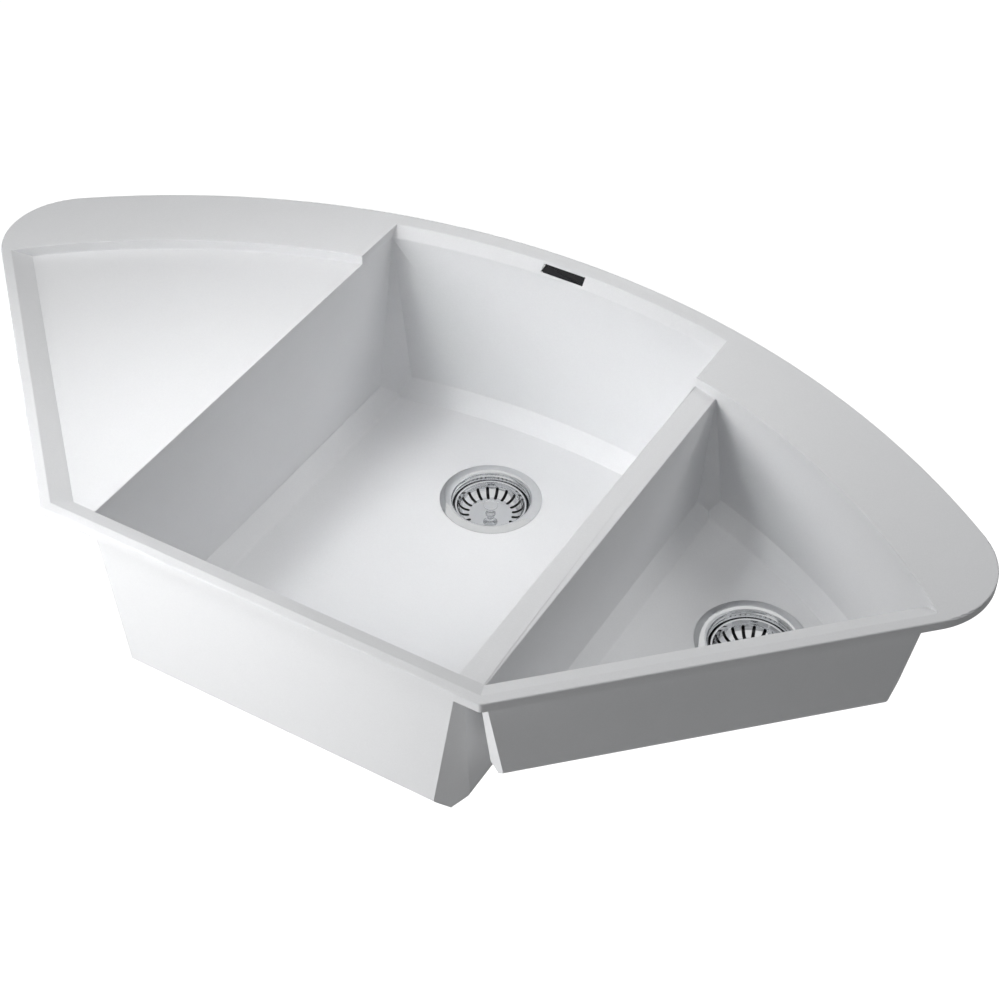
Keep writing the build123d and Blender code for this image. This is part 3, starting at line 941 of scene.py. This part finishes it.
def badge():
    # the dark plate on the slope, with a shallow bare field
    sizes = badgeSizes
    form = cadForm("badge_plate", sizes["flatAngle"])
    top = max(form.faces, key=lambda face: face.normal.z * face.calc_area())
    bmesh.ops.planar_faces(form, faces=[top], iterations=40, factor=0.5)
    bmesh.ops.inset_region(form, faces=[top], thickness=sizes["border"] * mm, use_even_offset=True)
    bmesh.ops.inset_region(
        form,
        faces=[top],
        thickness=sizes["fieldDrop"] * mm,
        depth=-sizes["fieldDrop"] * mm,
        use_even_offset=True,
    )
    for face in form.faces:
        face.smooth = False
    piece = toObject("badge", form, slots["badge_plate"], "sink", "badge_plate")
    softEdges(piece, sizes["edgeRounding"])


badge()
print("badge done")

# the CAD meshes that stay in sight take the finish of their slot
for node in frame["nodes"].values():
    if not node.hide_render:
        node.data.materials.clear()
        node.data.materials.append(finishes[slots[node.name]])


studio = {
    "floorHeight": -0.9,  # a rim on a worktop stands about 0.9 m above the floor
    "floorSize": 12.0,
    "floorColour": (0.9, 0.9, 0.9),
    "floorRoughness": 0.9,
    "floorGlow": 0.86,  # seen by the camera alone
    "ambient": 0.05,
    "ambientColour": (0.93, 0.96, 1.0),
    "white": (1.0, 1.0, 1.0),  # the room as the camera and transmission rays see it
    "mirrorLevel": 0.74,  # the share of it that glossy rays see
}


def whiteRoom():
    # white behind the object, a little darker in the metal, and almost no light of its own
    world = bpy.data.worlds.new("room")
    bpy.context.scene.world = world
    world.use_nodes = True
    nodes, links = world.node_tree.nodes, world.node_tree.links
    ambient = nodes["Background"]
    ambient.inputs["Color"].default_value = (*studio["ambientColour"], 1)
    ambient.inputs["Strength"].default_value = studio["ambient"]
    white = nodes.new("ShaderNodeBackground")
    white.inputs["Color"].default_value = (*studio["white"], 1)
    path = nodes.new("ShaderNodeLightPath")
    seen = nodes.new("ShaderNodeMath")
    seen.operation = "MAXIMUM"
    links.new(path.outputs["Is Camera Ray"], seen.inputs[0])
    links.new(path.outputs["Is Transmission Ray"], seen.inputs[1])
    mirror = nodes.new("ShaderNodeMath")  # glossy ray times its level, plus the rays that see all
    mirror.operation = "MULTIPLY_ADD"
    mirror.inputs[1].default_value = studio["mirrorLevel"]
    links.new(path.outputs["Is Glossy Ray"], mirror.inputs[0])
    links.new(seen.outputs[0], mirror.inputs[2])
    mix = nodes.new("ShaderNodeMixShader")
    links.new(mirror.outputs[0], mix.inputs[0])
    links.new(ambient.outputs[0], mix.inputs[1])
    links.new(white.outputs[0], mix.inputs[2])
    links.new(mix.outputs[0], nodes["World Output"].inputs["Surface"])


def paleFloor():
    # catches the object's shadow, and glows for the camera alone
    form = bmesh.new()
    bmesh.ops.create_grid(form, x_segments=1, y_segments=1, size=studio["floorSize"] / 2)
    bmesh.ops.translate(form, verts=form.verts, vec=(0, 0, studio["floorHeight"]))
    mesh = bpy.data.meshes.new("floor")
    form.to_mesh(mesh)
    form.free()
    floor = bpy.data.objects.new("floor", mesh)
    bpy.context.scene.collection.objects.link(floor)
    finish = Finish("floor", colour=studio["floorColour"], roughness=studio["floorRoughness"], specular=0.0)
    finish.surface(glow=finish.node("LightPath", out="Is Camera Ray"), glowStrength=studio["floorGlow"])
    mesh.materials.append(finish.material)


sinkMiddle = (0.0, 0.28, -0.08)

lamps = {
    "key": {"place": (-1.49, -1.5, 0.86), "target": sinkMiddle, "size": 1.2, "watts": 23.0},
    "front": {"place": (-0.59, -1.91, 0.98), "target": sinkMiddle, "size": 1.2, "watts": 3.2},
    "back": {"place": (0.88, 1.81, 1.69), "target": sinkMiddle, "size": 1.2, "watts": 18.2},
    "overhead": {"place": (0.09, 0.28, 2.42), "target": sinkMiddle, "size": 1.2, "watts": 11.8},
    "left": {"place": (-0.45, -0.25, 0.5), "target": (0.15, 0.5, -0.1), "size": 0.4, "watts": 1.45},
    "bowl": {
        "place": (-0.55, -0.55, 0.95),
        "target": (0.0, 0.42, -0.15),
        "size": 0.4,
        "watts": 0.46,
        "spread": 34,  # a grid keeps its light in the bowl
    },
    "lowLeft": {"place": (-0.9, -1.0, -0.5), "target": (0.0, 0.0, -0.1), "size": 0.8, "watts": 8.6},
    "right": {"place": (1.2, -0.9, -0.35), "target": (0.3, 0.0, -0.1), "size": 0.8, "watts": 1.2},
}


def softLamp(name, place, target, size, watts, spread=180):
    # a round lamp of that diameter, its light spread over the angle
    lamp = bpy.data.objects.new(name, bpy.data.lights.new(name, "AREA"))
    bpy.context.scene.collection.objects.link(lamp)
    lamp.data.shape = "DISK"
    lamp.data.size = size
    lamp.data.energy = watts
    lamp.data.spread = radians(spread)
    lamp.visible_camera = False
    lamp.visible_glossy = False  # the metal shows the white room, without bright discs
    lamp.location = place
    lamp.rotation_euler = (Vector(target) - Vector(place)).to_track_quat("-Z", "Y").to_euler()


whiteRoom()
paleFloor()
for name, lamp in lamps.items():
    softLamp(name, **lamp)
print("studio lit")
